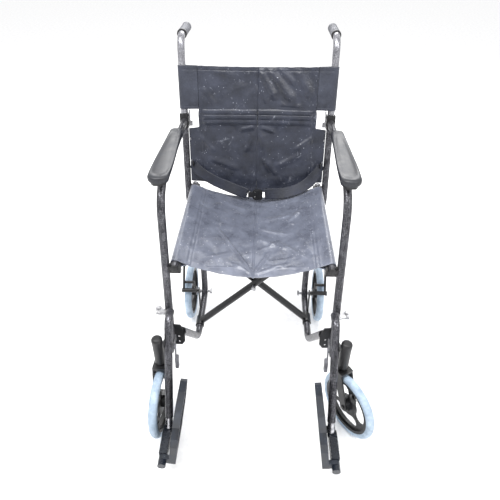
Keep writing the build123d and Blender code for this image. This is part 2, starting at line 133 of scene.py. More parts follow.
def wire(tree, shader, colour, gloss, bump):
    """Link the three results that a finish ends with to its shader."""
    tree.links.new(colour, shader.inputs["Base Color"])
    tree.links.new(gloss.outputs["Result"], shader.inputs["Roughness"])
    tree.links.new(bump.outputs["Normal"], shader.inputs["Normal"])


def silver_vein(name, dark, mid, light, metallic, roughness):
    """Silver-vein powder coat on steel: a dark ground with fine bright veins and a slight orange peel."""
    made, tree, shader, place = start_material(name, Metallic=metallic)
    # veins are about 1.5 mm across, drawn at 2.4 mm so that they still show
    vein = add(tree, "ShaderNodeTexNoise", {"Vector": place},
               {"Scale": per_mm(2.4), "Detail": 3.0, "Roughness": 0.6, "Distortion": 0.5})
    wear = add(tree, "ShaderNodeTexNoise", {"Vector": place},
               {"Scale": per_mm(19), "Detail": 4.0, "Roughness": 0.7})
    worn = add(tree, "ShaderNodeMapRange", {"Value": wear.outputs["Fac"]}, between(0.3, 0.7, -0.05, 0.05))
    both = add(tree, "ShaderNodeMath", {0: vein.outputs["Fac"], 1: worn.outputs["Result"]},
               operation="ADD")
    tone = add(tree, "ShaderNodeValToRGB", {"Fac": both.outputs[0]},
               stops=((0.34, dark), (0.52, mid), (0.7, light)))
    grime = add(tree, "ShaderNodeTexNoise", {"Vector": place}, {"Scale": per_mm(70), "Detail": 3.0})
    mask = add(tree, "ShaderNodeMapRange", {"Value": grime.outputs["Fac"]}, between(0.5, 0.75, 0.0, 0.45))
    mixed = add(tree, "ShaderNodeMix", {"Factor": mask.outputs["Result"]}, data_type="RGBA")
    tree.links.new(tone.outputs["Color"], mixed.inputs[6])
    mixed.inputs[7].default_value = linear(dark)
    gloss = add(tree, "ShaderNodeMapRange", {"Value": vein.outputs["Fac"]},
                between(0.35, 0.65, roughness + 0.1, roughness - 0.08))
    bump = add(tree, "ShaderNodeBump", {"Height": vein.outputs["Fac"]},
               {"Strength": 0.25, "Distance": 0.0005})
    wire(tree, shader, mixed.outputs[2], gloss, bump)
    return made


def moulded(name, dark, light, roughness, grain=1.2, strength=0.2, specks=None):
    """Moulded or coated surface: fine grain, faint cloudiness and, where given, dust."""
    made, tree, shader, place = start_material(name)
    cloud = add(tree, "ShaderNodeTexNoise", {"Vector": place},
                {"Scale": per_mm(28), "Detail": 5.0, "Roughness": 0.65})
    tone = add(tree, "ShaderNodeValToRGB", {"Fac": cloud.outputs["Fac"]}, stops=((0.38, dark), (0.68, light)))
    colour = tone.outputs["Color"]
    fine = add(tree, "ShaderNodeTexNoise", {"Vector": place}, {"Scale": per_mm(grain), "Detail": 2.0})
    if specks:
        colour = dusted(tree, place, colour, specks, 9.0, 0.075)
    gloss = add(tree, "ShaderNodeMapRange", {"Value": cloud.outputs["Fac"]},
                between(0.35, 0.7, roughness - 0.07, roughness + 0.09))
    bump = add(tree, "ShaderNodeBump", {"Height": fine.outputs["Fac"]},
               {"Strength": strength, "Distance": 0.0005})
    wire(tree, shader, colour, gloss, bump)
    return made


def dusted(tree, place, tone, code, spacing, size):
    """Scattered pale dust specks over a colour, one to each cell of the spacing, in patches."""
    warp = add(tree, "ShaderNodeTexNoise", {"Vector": place}, {"Scale": per_mm(6), "Detail": 2.0})
    small = add(tree, "ShaderNodeVectorMath", {0: warp.outputs["Color"]}, {1: (0.004, 0.004, 0.004)},
                operation="MULTIPLY")
    bent = add(tree, "ShaderNodeVectorMath", {0: place, 1: small.outputs[0]}, operation="ADD")
    cell = add(tree, "ShaderNodeTexVoronoi", {"Vector": bent.outputs[0]},
               {"Scale": per_mm(spacing), "Randomness": 1.0})
    spot = add(tree, "ShaderNodeMapRange", {"Value": cell.outputs["Distance"]},
               between(size * 0.6, size, 1.0, 0.0))
    patch = add(tree, "ShaderNodeTexNoise", {"Vector": place}, {"Scale": per_mm(55), "Detail": 4.0})
    where = add(tree, "ShaderNodeMapRange", {"Value": patch.outputs["Fac"]}, between(0.46, 0.58, 0.0, 1.0))
    both = add(tree, "ShaderNodeMath", {0: spot.outputs["Result"], 1: where.outputs["Result"]},
               operation="MULTIPLY")
    mixed = add(tree, "ShaderNodeMix", {"Factor": both.outputs[0]}, data_type="RGBA")
    tree.links.new(tone, mixed.inputs[6])
    mixed.inputs[7].default_value = linear(code)
    return mixed.outputs[2]


def zinc(name, dark, light, roughness):
    """Zinc-plated steel: bright metal with a cloudy passivated film."""
    made, tree, shader, place = start_material(name, Metallic=1.0)
    cloud = add(tree, "ShaderNodeTexNoise", {"Vector": place},
                {"Scale": per_mm(9), "Detail": 6.0, "Roughness": 0.7})
    tone = add(tree, "ShaderNodeValToRGB", {"Fac": cloud.outputs["Fac"]}, stops=((0.35, dark), (0.65, light)))
    gloss = add(tree, "ShaderNodeMapRange", {"Value": cloud.outputs["Fac"]},
                between(0.35, 0.65, roughness + 0.12, roughness - 0.06))
    bump = add(tree, "ShaderNodeBump", {"Height": cloud.outputs["Fac"]},
               {"Strength": 0.15, "Distance": 0.0004})
    wire(tree, shader, tone.outputs["Color"], gloss, bump)
    return made


def dark_footed(made, top, code):
    """Below a height in millimetres the part is the dark moulding at the tube's end, not bright metal."""
    tree = made.node_tree
    shader = tree.nodes["Principled BSDF"]
    place = add(tree, "ShaderNodeTexCoord").outputs["Object"]
    height = add(tree, "ShaderNodeSeparateXYZ", {"Vector": place})
    bright = add(tree, "ShaderNodeMapRange", {"Value": height.outputs["Z"]},
                 between((top - 0.5) * MM, (top + 0.5) * MM, 0.0, 1.0)).outputs["Result"]
    mixed = add(tree, "ShaderNodeMix", {"Factor": bright}, data_type="RGBA")
    tree.links.new(shader.inputs["Base Color"].links[0].from_socket, mixed.inputs[7])
    mixed.inputs[6].default_value = linear(code)
    tree.links.new(mixed.outputs[2], shader.inputs["Base Color"])
    tree.links.new(bright, shader.inputs["Metallic"])
    return made


def woven(name, dark, light, dust, thread, roughness, dust_size, stain, coat=0.0):
    """Woven cloth: threads, chalky stains and dust, laid out on the flat cloth."""
    made, tree, shader, _ = start_material(name, Sheen_Weight=0.15, Sheen_Roughness=0.4, Coat_Weight=coat,
                                           Coat_Roughness=0.3)
    place = add(tree, "ShaderNodeAttribute", attribute_name="flat_m").outputs["Vector"]
    cloud = add(tree, "ShaderNodeTexNoise", {"Vector": place},
                {"Scale": per_mm(60), "Detail": 6.0, "Roughness": 0.62})
    tone = add(tree, "ShaderNodeValToRGB", {"Fac": cloud.outputs["Fac"]}, stops=((0.33, dark), (0.7, light)))
    # threads are drawn coarser than the real 0.5 mm, so that they show
    weave = add(tree, "ShaderNodeTexChecker", {"Vector": place}, {"Scale": per_mm(thread)})
    chalk = add(tree, "ShaderNodeTexNoise", {"Vector": place},
                {"Scale": per_mm(34), "Detail": 9.0, "Roughness": 0.78, "Distortion": 0.8})
    mask = add(tree, "ShaderNodeMapRange", {"Value": chalk.outputs["Fac"]}, between(0.6, 0.82, 0.0, stain))
    stained = add(tree, "ShaderNodeMix", {"Factor": mask.outputs["Result"]}, data_type="RGBA")
    tree.links.new(tone.outputs["Color"], stained.inputs[6])
    stained.inputs[7].default_value = linear(dust)
    dusty = dusted(tree, place, stained.outputs[2], dust, 10.0, dust_size)
    gloss = add(tree, "ShaderNodeMapRange", {"Value": cloud.outputs["Fac"]},
                between(0.35, 0.7, roughness - 0.06, roughness + 0.12))
    crumple = add(tree, "ShaderNodeTexNoise", {"Vector": place},
                  {"Scale": per_mm(16), "Detail": 3.0, "Roughness": 0.5, "Distortion": 1.2})
    wide = add(tree, "ShaderNodeBump", {"Height": crumple.outputs["Fac"]},
               {"Strength": 0.5, "Distance": 0.0022})
    bump = add(tree, "ShaderNodeBump", {"Height": weave.outputs["Fac"], "Normal": wide.outputs["Normal"]},
               {"Strength": 0.1, "Distance": 0.0003})
    wire(tree, shader, dusty, gloss, bump)
    return made


FINISHES = {}


def make_finishes(tones):
    """Every material: by the record's slot name, and the seat's and the sleeves' own cloth."""
    FINISHES.update(
        # speckled dark grey that glints along each tube
        frame_paint=silver_vein("silver_vein_powder_coat", "#151517", tones.frame_colour, "#9a9aa0", 0.6, 0.3),
        # the same coat painted paler on the upper canes: a painted highlight, because they face the sky
        cane_paint=silver_vein("silver_vein_powder_coat_painted_sky_highlight", "#4c4c51", "#94949a", "#dcdce0", 0.75, 0.26),
        # near black with a soft sheen, and a little dust
        brace_black=moulded("black_powder_coat_semi_gloss", "#0f0f11", "#1e1e21", 0.36, 1.0, 0.25, "#77777c"),
        # near black, duller than the braces
        fork_black=moulded("black_powder_coat_satin", "#0e0e10", "#1c1c1f", 0.4, 1.0, 0.25),
        # bright but cloudy metal
        bracket_zinc=zinc("zinc_plated_steel", "#77777a", "#c2c2c4", 0.3),
        # a brighter tube, with the dark moulding of its foot below 82 mm
        foot_metal=dark_footed(zinc("plated_steel_tube_with_moulded_foot", "#8d8d92", "#d4d4d8", 0.24),
                               82.0, "#181d26"),
        # black with a fine grain that breaks up the gloss
        black_plastic=moulded("black_moulded_nylon", "#0c0c0e", "#1b1b1e", 0.45, 0.9, 0.3),
        # the same with road dust
        wheel_plastic=moulded("black_glass_filled_nylon_wheel", "#0d0e10", "#1c1d20", 0.42, 0.8, 0.3,
                              "#70737a"),
        # blue-black, scuffed pale in specks
        footplate_plastic=moulded("charcoal_moulded_polypropylene", "#10141b", "#202733", 0.5, 1.1, 0.35,
                                  "#767b83"),
        # soft foam with its own skin: dark, with a broad soft highlight
        pad_vinyl=moulded("self_skinned_polyurethane_pad", tones.pad_colour, "#2b2d33", 0.42, 1.4, 0.08),
        # mid grey and matt
        grip_rubber=moulded("grey_moulded_rubber_grip", "#55565b", "#7d7e84", 0.5, 0.9, 0.4),
        # pale blue-grey and matt, with pale dust on the tread
        tyre_grey=moulded("blue_grey_polyurethane_tyre", tones.tyre_colour, "#b3c4d4", 0.5, 1.4, 0.25,
                          "#dfe8f0"),
        # charcoal-blue cloth with a proofed shine, chalk marks and dust
        nylon=woven("charcoal_proofed_nylon_cloth", tones.cloth_colour, "#313543", "#c2c6d2", 1.4, 0.36, 0.1,
                    0.75),
        # the seat's cloth is the back's cloth painted paler, a painted sheen for its upward face in the light,
        # and it is glossier where it is rubbed
        seat_nylon=woven("charcoal_proofed_nylon_seat_cloth_painted_sheen", "#4c505d", "#6b707f", "#dfe2ea", 1.4, 0.3, 0.13,
                         0.6, 0.5),
        # the sleeves keep more of their colour and less shine
        hem=woven("charcoal_nylon_sleeve_cloth", "#1f222c", "#343845", "#9da1ac", 1.4, 0.44, 0.06, 0.25),
        # dull blue-black webbing with a coarse weave
        webbing=woven("black_woven_polyester_webbing", "#151821", "#242837", "#7f838d", 2.0, 0.6, 0.04, 0.2),
    )


def finish_cad_nodes():
    """Give every CAD node that stays its real finish."""
    for entry in frame["record"]["subparts"]:
        thing = frame["nodes"][entry["node"]]
        thing.data.materials.clear()
        thing.data.materials.append(FINISHES[entry["material_slot"]])


# ---- mesh helpers --------------------------------------------------------------------------
def mesh_object(name, points, faces, finish, smooth=True, flat=None):
    """A mesh in metres from points in millimetres, with the cloth's flat coordinates if it has them."""
    mesh = bpy.data.meshes.new(name)
    mesh.from_pydata((np.asarray(points, float) * MM).tolist(), [], faces)
    mesh.validate()
    if flat is not None:
        layer = mesh.attributes.new("flat_m", "FLOAT_VECTOR", "POINT")
        layer.data.foreach_set("vector", (np.asarray(flat, float) * MM).astype(np.float32).ravel())
    made = bpy.data.objects.new(name, mesh)
    bpy.context.scene.collection.objects.link(made)
    mesh.materials.append(finish)
    if smooth:
        mesh.shade_smooth()
    return made


def cloth_solid(name, surface, flat, thickness, finish):
    """A closed sheet: surface is a grid of points on its outer face, flat its (u, v) millimetres."""
    rows, columns = surface.shape[:2]
    normal = np.cross(np.gradient(surface, axis=0), np.gradient(surface, axis=1))
    normal /= np.linalg.norm(normal, axis=2, keepdims=True) + 1e-12
    back = surface - normal * thickness
    points = np.concatenate([surface.reshape(-1, 3), back.reshape(-1, 3)])
    coordinates = np.concatenate([flat.reshape(-1, 2)] * 2)
    coordinates = np.column_stack([coordinates, np.zeros(len(coordinates))])
    count = rows * columns
    faces = []
    for i in range(rows - 1):
        for j in range(columns - 1):
            a, b = i * columns + j, (i + 1) * columns + j
            faces.append((a, b, b + 1, a + 1))
            faces.append((count + a, count + a + 1, count + b + 1, count + b))
    border = list(range(columns))
    border += [i * columns + columns - 1 for i in range(1, rows)]
    border += [(rows - 1) * columns + j for j in range(columns - 2, -1, -1)]
    border += [i * columns for i in range(rows - 2, 0, -1)]
    for a, b in zip(border, border[1:] + border[:1]):
        faces.append((a, b, count + b, count + a))
    return mesh_object(name, points, faces, finish, flat=coordinates)


def ridge(along, across, width):
    """A soft ridge of height one: across is the distance from its line."""
    return along * np.exp(-((across / width) ** 2))


def crease(x, y, start, end, height, width):
    """A crease in the cloth from start to end, fading at both ends."""
    a, b = np.array(start, float), np.array(end, float)
    way = b - a
    length = math.hypot(*way)
    t = ((x - a[0]) * way[0] + (y - a[1]) * way[1]) / length ** 2
    across = ((x - a[0]) * way[1] - (y - a[1]) * way[0]) / length
    fade = np.clip(t * 5, 0, 1) * np.clip((1 - t) * 5, 0, 1)
    side = np.where(across > 0, 0.6, 1.0)  # steeper on one side, as a fold is
    return height * ridge(fade, across, width * side)


def rumple(x, y, size, height, seed):
    """Uneven low waves in the cloth."""
    out = np.zeros(x.shape)
    for index in np.ndindex(x.shape):
        out[index] = noise.noise(Vector((x[index] / size, y[index] / size, seed)))
    return out * height


def smooth_step(value, low, high):
    """Nought below low, one above high and a soft step between them."""
    t = np.clip((value - low) / (high - low), 0, 1)
    return t * t * (3 - 2 * t)


def on_back(x, w, y):
    """Points beside the back: w up the cane from the hinge, y backwards from the cane's axis."""
    out_y = HINGE_Y + w * math.sin(RAKE) + y * math.cos(RAKE)
    out_z = HINGE_Z + w * math.cos(RAKE) - y * math.sin(RAKE)
    return np.stack(np.broadcast_arrays(x, out_y, out_z), axis=-1)


def declare(thing, body, node=None):
    """Tell the frame what a piece is: what it rides on and replaces."""
    if body:
        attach(thing, body)
    if node:
        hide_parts(*([node] if isinstance(node, str) else node))
    return thing


def path_length(across):
    """Length along a path of points, from its start to each of them."""
    steps = np.hypot(*(np.diff(part) for part in across))
    return np.concatenate([[0], np.cumsum(steps)])


# ---- seat and back cloth -------------------------------------------------------------------
def sling_path(half, radius, depth, seam, steps):
    """Across a sling, from one seam under the sleeve, round the bar, over and across to the other.

    Gives x and height above the bar's axis, and which points are on the main, uncovered part.
    """
    slope = math.degrees(math.atan(2 * depth / half))
    left = []
    for angle in np.linspace(-65, -270 - slope, 24):
        turn = math.radians(angle)
        left.append((-half + radius * math.cos(turn), radius * math.sin(turn)))
    edge_x, edge_h = left[-1]
    across = np.linspace(edge_x, -edge_x, steps)[1:-1]
    main = [(x, edge_h - depth * (1 - (x / edge_x) ** 2)) for x in across]
    under = edge_h - depth * (1 - (seam / edge_x) ** 2) - 3.4
    first = left[0]
    flap = [(-seam + (first[0] + seam) * t, under + (first[1] - under) * t)
            for t in np.linspace(0, 1, 8)[:-1]]
    path = flap + left
    whole = path + main + [(-x, h) for x, h in reversed(path)]
    is_main = [False] * (len(path) - 1) + [True] * (len(main) + 2) + [False] * (len(path) - 1)
    x, h = np.array(whole).T
    return x, h, np.array(is_main)


SEAT_FRONT, SEAT_BACK = -225.0, 190.0
SEAT_SEAM = 178.0
SEAT_CREASES = (
    ((0, -214), (-118, -12), 3.2, 5.0), ((2, -214), (52, -120), 3.0, 6.0),
    ((-2, -214), (-62, -175), 2.2, 6.0), ((0, -214), (98, -186), 2.6, 7.0),
    ((8, -60), (104, -128), 2.6, 8.0), ((14, -6), (96, -44), 2.2, 7.0),
    ((30, -150), (112, -150), -2.0, 8.0), ((6, -120), (74, -84), 2.2, 6.0),
    ((60, -70), (150, -180), 2.4, 9.0), ((120, -40), (168, -170), 2.0, 8.0),
    ((20, 40), (120, 60), 1.6, 12.0), ((-150, -190), (-60, -130), 1.6, 9.0),
    ((-160, -100), (-90, -60), 1.3, 10.0), ((-20, 100), (-110, 140), 1.2, 14.0),
    ((100, 20), (160, 90), 1.8, 9.0), ((-165, 30), (-120, 120), 1.4, 10.0),
    ((12, -180), (140, -212), 1.8, 6.0), ((-16, -188), (-130, -212), 1.6, 6.0),
)
SEAT_CREASE_DEPTH = 1.9  # every crease stands this many times its height above


def seat_relief(x, y):
    """Height of the seat's seams, hem and creases above its smooth sling."""
    out = rumple(x, y, 46.0, 2.6, 3.1) + rumple(x, y, 17.0, 1.0, 8.7)
    out += ridge(1.0, np.abs(x) - 6.0, 5.0) * 1.3 - ridge(2.6, x, 1.9)
    for offset in (0.0, 9.0):
        out -= ridge(1.3, np.abs(x) - SEAT_SEAM + offset, 1.4)
    out += ridge(1.0, np.abs(x) - SEAT_SEAM - 5.0, 4.0) * 0.9
    out -= ridge(1.2, y - (SEAT_FRONT + 20.0), 1.5) + ridge(1.2, y - (SEAT_BACK - 18.0), 1.5)
    for start, end, height, width in SEAT_CREASES:
        out += crease(x, y, start, end, height * SEAT_CREASE_DEPTH, width)
    # the front hem puckers where it is pulled
    pucker = np.sin(x / 6.5) * 0.7 * np.exp(-((y - SEAT_FRONT - 10) / 12.0) ** 2)
    return out + pucker


class WHEELCHAIR_OT_seat(bpy.types.Operator):
    """Sling seat: proofed nylon hung between the seat rails, with sewn sleeves and creases"""
    bl_idname = "wheelchair.seat"
    bl_label = "Seat sling"

    def execute(self, context):
        x, h, is_main = sling_path(RAIL_X, SLEEVE_R, context.scene.wheelchair.seat_sag, SEAT_SEAM, 190)
        lengths = path_length((x, h))
        rows = np.linspace(SEAT_FRONT, SEAT_BACK, 138)
        grid_x, grid_y = np.meshgrid(x, rows)
        height = np.tile(h, (len(rows), 1))
        inner = np.clip((RAIL_X - 16.0 - np.abs(grid_x)) / 20.0, 0, 1) * is_main[None, :]
        height = height + seat_relief(grid_x, grid_y) * np.maximum(inner, 0.25 * is_main[None, :])
        bow = 1 - (grid_x / RAIL_X) ** 2
        # the free front edge hangs lower, and is drawn back a little in the middle
        front = np.exp(-(grid_y - SEAT_FRONT) / 40.0)
        height -= 7.0 * front * np.clip(bow, 0, 1) * (1 + 0.5 * np.exp(-np.abs(grid_x) / 40.0))
        surface = np.stack([grid_x, grid_y, RAIL_Z + height], axis=-1)
        flat = np.stack([np.tile(lengths, (len(rows), 1)), grid_y], axis=-1)
        seat = cloth_solid("seat_cloth", surface[:, ::-1], flat[:, ::-1], SLEEVE_CLOTH,
                           FINISHES["seat_nylon"])
        declare(seat, None, "seat_sling")
        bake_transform(seat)
        return {"FINISHED"}


BACK_SEAM = 186.0
BACK_FOOT = -260.0
LOW_HALF = 223.0  # the lower panel's half width, where it is widest
FLAP_ROLL, FLAP_TURN = 14.0, 118  # radius and angle of the roll at the lower panel's top
SLEEVE_LOW, SLEEVE_HIGH = 23.0, 152.0
BACK_SPLIT = 5.0
GROOVES = (21.0, 5.0, -11.0, -27.0)  # sewn lines of the three channels
BACK_CREASES = (
    ((2, 150), (58, 50), 4.2, 15.0), ((24, 158), (118, 36), 4.6, 17.0),
    ((60, 156), (120, 92), 2.6, 12.0), ((112, 152), (172, 50), 2.8, 18.0),
    ((6, 120), (26, 40), 2.4, 12.0), ((-150, 140), (-60, 120), 1.4, 14.0),
    ((-120, 60), (-30, 100), 1.1, 14.0), ((-176, 90), (-130, 30), 1.3, 9.0),
    ((60, 40), (150, 34), 1.3, 8.0), ((-8, -34), (-60, -44), 1.8, 8.0),
    ((6, -34), (60, -52), 2.4, 9.0), ((8, -36), (44, -190), 3.4, 16.0),
    ((-10, -50), (-40, -120), 1.4, 9.0), ((190, -60), (120, -110), 1.6, 9.0),
    ((-195, -60), (-140, -120), 1.5, 9.0), ((150, -120), (60, -170), 1.6, 12.0),
    ((-160, -140), (-60, -180), 1.6, 12.0), ((20, -140), (70, -200), 1.3, 10.0),
)
BACK_CREASE_DEPTH = 2.3


def back_relief(x, w):
    """Height of the back's channels, centre pleat and creases above its smooth surface."""
    out = rumple(x, w, 52.0, 3.0, 5.5) + rumple(x, w, 20.0, 1.0, 1.4)
    plain = 1 - smooth_step(w, -32, -27) * (1 - smooth_step(w, 20, 25))
    out = out * (0.3 + 0.7 * plain)
    out += ridge(1.0, np.abs(x) - 6.0, 5.0) * 1.2 - ridge(2.8, x, 2.0)
    for start, end, height, width in BACK_CREASES:
        out += crease(x, w, start, end, height * BACK_CREASE_DEPTH, width)
    for high, low in zip(GROOVES, GROOVES[1:]):
        roll = np.clip(np.sin(np.pi * np.clip((w - low) / (high - low), 0, 1)), 0, 1)
        out += 3.4 * np.sqrt(roll) * smooth_step(179 - np.abs(x), 0, 8) * (1 - 0.75 * ridge(1.0, x, 3.5))
    return out


def top_depth(x):
    """How far behind the cane's axis the upper cloth's smooth surface lies."""
    return -12.6 + 13.0 * (1 - (x / 229.0) ** 2)


def low_depth(x):
    """The same for the lower cloth, which sags between the posts."""
    return 2.5 + 15.0 * (1 - (x / 223.0) ** 2)


class WHEELCHAIR_OT_back(bpy.types.Operator):
    """Back cloth: sleeves on the canes, an upper panel, three sewn channels and the lower panel"""
    bl_idname = "wheelchair.back"
    bl_label = "Back cloth"

    def execute(self, context):
        self.sleeves()
        self.upper()
        self.lower()
        return {"FINISHED"}

    def sleeves(self):
        """The part of the cloth that is sewn round each cane, rigid with it."""
        x, h, _ = sling_path(CANE_X, SLEEVE_R, 13.0, BACK_SEAM, 190)
        keep = x < -BACK_SEAM + 1.5
        x, h = x[keep], h[keep]
        lengths = path_length((x, h))
        rows = np.linspace(SLEEVE_LOW, SLEEVE_HIGH, 60)
        for side, sign in SIDES:
            across, up = np.meshgrid(x, rows)
            swell = rumple(across, up, 30.0, 0.9, 2.0 + sign)
            outward = np.tile(h, (len(rows), 1))
            outward = outward + np.where(outward > 6, 1, 0) * np.abs(swell)
            dip = 1.0 * (ridge(1.0, up - SLEEVE_HIGH + 12, 1.5) + ridge(1.0, up - SLEEVE_LOW - 9, 1.5))
            outward -= dip * (np.abs(outward) < 20) * (across > -CANE_X)
            surface = on_back(-sign * across, up, -outward)
            flat = np.stack([np.tile(lengths, (len(rows), 1)), up], axis=-1)
            if sign > 0:
                surface, flat = surface[:, ::-1], flat[:, ::-1]
            sleeve = cloth_solid(f"{side}_back_sleeve", surface[::-1], flat[::-1], SLEEVE_CLOTH,
                                 FINISHES["hem"])
            declare(sleeve, f"{side}_back")

    def upper(self):
        """Upper panel, with the first of the channels at its foot."""
        x = np.linspace(-BACK_SEAM, BACK_SEAM, 170)
        rows = np.linspace(BACK_SPLIT, SLEEVE_HIGH, 96)
        across, up = np.meshgrid(x, rows)
        lean = smooth_step(up, -60, 30)
        depth = top_depth(across) * lean + low_depth(across) * (1 - lean)
        # the top edge is hemmed, and dips between the canes
        hem = ridge(1.2, up - SLEEVE_HIGH + 12, 1.5)
        fade = smooth_step(BACK_SEAM - np.abs(across), 0, 14)
        surface_up = up - 5.0 * smooth_step(up, 90, SLEEVE_HIGH) * (1 - (across / BACK_SEAM) ** 2) * 0.6
        surface_up -= 1.6 * np.abs(rumple(across, up * 0, 34.0, 1.0, 4.4)) * smooth_step(up, 130, SLEEVE_HIGH)
        surface = on_back(across, surface_up, depth - back_relief(across, up) * fade + hem)
        flat = np.stack([across, up], axis=-1)
        panel = cloth_solid("back_upper_panel", surface, flat, PANEL_CLOTH, FINISHES["nylon"])
        declare(panel, "left_back", "back_upper_cloth")
        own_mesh(panel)

    def lower(self):
        """Lower panel with two channels, and a flap rolled over the hinge line behind the upper one."""
        shares = np.linspace(-1, 1, 184)
        rows = np.linspace(BACK_FOOT, BACK_SPLIT, 144)
        share, up = np.meshgrid(shares, rows)
        # the foot tucks in between the rails, and narrows so that it clears their cradles as the chair folds
        foot = np.clip((-217.0 - up) / 46.0, 0, 1)
        half = LOW_HALF - 33.0 * smooth_step(up, -40, -35) - 36.0 * (1 - smooth_step(up, -222, -217))
        half = half * (1 - foot) ** 0.6
        across = share * half
        lean = smooth_step(up, -60, 30)
        depth = top_depth(across) * lean + low_depth(across) * (1 - lean)
        fade = smooth_step(half - np.abs(across), 0, 16)
        seams = ridge(1.4, np.abs(across) - 184, 1.5) + ridge(1.2, np.abs(across) - 174, 1.4)
        seams = seams * (1 - smooth_step(up, -40, -30))
        relief = back_relief(across, up) * fade - seams
        relief -= ridge(1.3, up + 248.0, 1.6)
        surface = on_back(across, up, depth - relief)
        turns = np.radians(np.linspace(0, FLAP_TURN, 16))[1:]
        radius = FLAP_ROLL - (depth[-1] - relief[-1])
        rim = up[-1, 0]
        flap = []
        for turn in turns:
            bent = radius - 2.6 * min(1.0, turn / 0.4)
            start = math.atan2(rim, radius[len(radius) // 2])
            angle = start + turn
            flap.append(on_back(across[-1], bent * np.sin(angle), FLAP_ROLL - bent * np.cos(angle)))
        surface = np.concatenate([surface, np.array(flap)])
        flat = np.stack([across, up], axis=-1)
        extra = np.stack([np.tile(across[-1], (len(turns), 1)),
                          rim + np.outer(turns, np.full(len(shares), FLAP_ROLL))], axis=-1)
        flat = np.concatenate([flat, extra])
        panel = cloth_solid("back_lower_panel", surface, flat, PANEL_CLOTH, FINISHES["nylon"])
        declare(panel, "left_frame", "back_lower_cloth")
        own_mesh(panel)


# ---- belt ----------------------------------------------------------------------------------
def along_curve(points, count):
    """Evenly spread places on a smooth curve through the points, in millimetres."""
    curve = bpy.data.curves.new("guide", "CURVE")
    curve.dimensions = "3D"
    spline = curve.splines.new("BEZIER")
    spline.bezier_points.add(len(points) - 1)
    for knot, point in zip(spline.bezier_points, points):
        knot.co = point
        knot.handle_left_type = knot.handle_right_type = "AUTO"
    spline.resolution_u = 24
    thing = bpy.data.objects.new("guide", curve)
    mesh = bpy.data.meshes.new_from_object(thing)
    dense = np.array([v.co for v in mesh.vertices])
    bpy.data.objects.remove(thing)
    bpy.data.meshes.remove(mesh)
    bpy.data.curves.remove(curve)
    where = path_length(dense.T)
    wanted = np.linspace(0, where[-1], count)
    return np.stack([np.interp(wanted, where, dense[:, k]) for k in range(3)], axis=-1)


def ribbon(name, points, widths, width, thickness, finish, count=70):
    """Flat webbing along a curve; widths are the directions of its width at each point given."""
    centre = along_curve(points, count)
    share = np.linspace(0, len(widths) - 1, count)
    given = np.array(widths, float)
    side = np.stack([np.interp(share, range(len(given)), given[:, k]) for k in range(3)], axis=-1)
    ahead = np.gradient(centre, axis=0)
    ahead /= np.linalg.norm(ahead, axis=1, keepdims=True)
    side -= ahead * np.sum(side * ahead, axis=1, keepdims=True)
    side /= np.linalg.norm(side, axis=1, keepdims=True)
    cross = np.linspace(-width / 2, width / 2, 13)
    surface = centre[:, None, :] + side[:, None, :] * cross[None, :, None]
    normal = np.cross(ahead, side)
    rib = 0.25 * np.cos(cross / width * 2 * math.pi * 5)
    surface += normal[:, None, :] * rib[None, :, None]
    lengths = path_length(centre.T)
    flat = np.stack(np.broadcast_arrays(lengths[:, None], cross[None, :]), axis=-1)
    thing = cloth_solid(name, surface, flat, thickness, finish)
    return thing, lengths[-1]


BELT_Z = 470.0
BELT_Y = 160.0
BELT_CLOTH = 1.3  # thickness of the webbing


class WHEELCHAIR_OT_belt(bpy.types.Operator):
    """Lap belt: two webbing straps from the canes to a side-release buckle"""
    bl_idname = "wheelchair.belt"
    bl_label = "Lap belt"

    def execute(self, context):
        width = context.scene.wheelchair.belt_width
        runs = {
            "left": ((-215, 216, 551), (-195, 207, 530), (-150, 193, 505), (-90, 176, 486), (-29, 160, 470)),
            "right": ((215, 216, 553), (200, 204, 527), (172, 190, 497), (110, 172, 474), (29, 160, 470)),
        }
        tilts = {
            "left": ((0, 0.1, 1), (0, 0.2, 1), (0, 0.3, 1), (0, 0.5, 1), (0, 0.1, 1)),
            "right": ((0, 0.1, 1), (0.3, 0.5, 1), (0.4, 0.8, 0.7), (0.1, 0.6, 1), (0, 0.1, 1)),
        }
        for side, sign in SIDES:
            strap, length = ribbon(f"{side}_belt_strap", runs[side], tilts[side], width, BELT_CLOTH,
                                   FINISHES["webbing"])
            declare(strap, f"{side}_frame", f"{side}_belt")
            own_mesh(strap)
            self.anchor(side, sign)
        self.buckle()
        return {"FINISHED"}

    def anchor(self, side, sign):
        """A moulded washer and screw that hold the strap to the cane."""
        profile = [(0.1, 3.6), (2.6, 3.4), (3.4, 2.6), (4.2, 2.2), (9.5, 1.6), (10.5, 0.4), (10.5, -0.6)]
        points, faces = lathe(profile, 28)
        turned = points[:, [2, 1, 0]] * np.array([-sign, 1, 1])
        facing = faces if sign < 0 else [face[::-1] for face in faces]
        anchor = mesh_object(f"{side}_belt_washer", turned + np.array([sign * 213.0, 214.0, 552.0]), facing,
                             FINISHES["black_plastic"])
        declare(anchor, f"{side}_frame")

    def buckle(self):
        """A side-release buckle: the shell on one strap and the tongue of the other in it."""
        shell = bevelled_plate([(-6, -19), (15, -19), (22, -15), (22, 15), (15, 19), (-6, 19), (-3, 8),
                                (-3, -8)], 9.0, 2.0)
        tongue = bevelled_plate([(-8, -17), (-5, -17), (-4, -6), (8, -6), (8, 6), (-4, 6), (-5, 17), (-8, 17),
                                 (-12, 12), (-12, 9), (-24, 9), (-24, 17), (-27, 17), (-27, -17), (-24, -17),
                                 (-24, -9), (-12, -9), (-12, -12)], 6.0, 1.2)
        for name, (points, faces), y in (("belt_buckle_shell", shell, BELT_Y - 4.0),
                                         ("belt_buckle_tongue", tongue, BELT_Y - 3.0)):
            placed = np.column_stack([points[:, 0], y - points[:, 2], BELT_Z + points[:, 1]])
            part = mesh_object(name, placed, faces, FINISHES["black_plastic"], smooth=False)
            declare(part, "left_frame", "belt_buckle")
            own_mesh(part)


